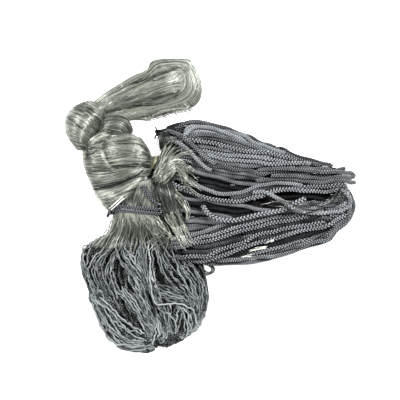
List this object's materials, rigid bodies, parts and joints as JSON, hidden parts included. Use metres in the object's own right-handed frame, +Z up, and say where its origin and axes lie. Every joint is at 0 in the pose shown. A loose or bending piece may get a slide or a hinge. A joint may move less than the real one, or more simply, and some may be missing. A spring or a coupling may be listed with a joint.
{
  "type": "gill net",
  "caption": "Packed gill net lying flat: knotted monofilament webbing, tied at its neck, with a braided float line hank and a round lead line hank.",
  "frame": {"origin": "middle of the plan, on the surface the net lies on", "axes": "+Z up from the surface, +X towards the tip of the float line hank, +Y towards the doubled end of the webbing"},
  "size_m": [0.3641, 0.3669, 0.0432],
  "materials": {
    "webbing": "glossy clear grey-green nylon monofilament netting",
    "float_line": "braided blue-grey line, dull",
    "lead_line": "fine braided cool-grey line, dull",
    "tie_cord": "braided dark blue-grey cord",
    "dark_thread": "dark twisted thread"
  },
  "bodies": {
    "root": {"webbing": "webbing", "float_line_hank": "float_line", "float_line_end": "float_line", "lead_line_hank": "lead_line", "tie": "tie_cord", "seizing_thread": "dark_thread", "line_knot": "dark_thread"}
  },
  "joints": []
}
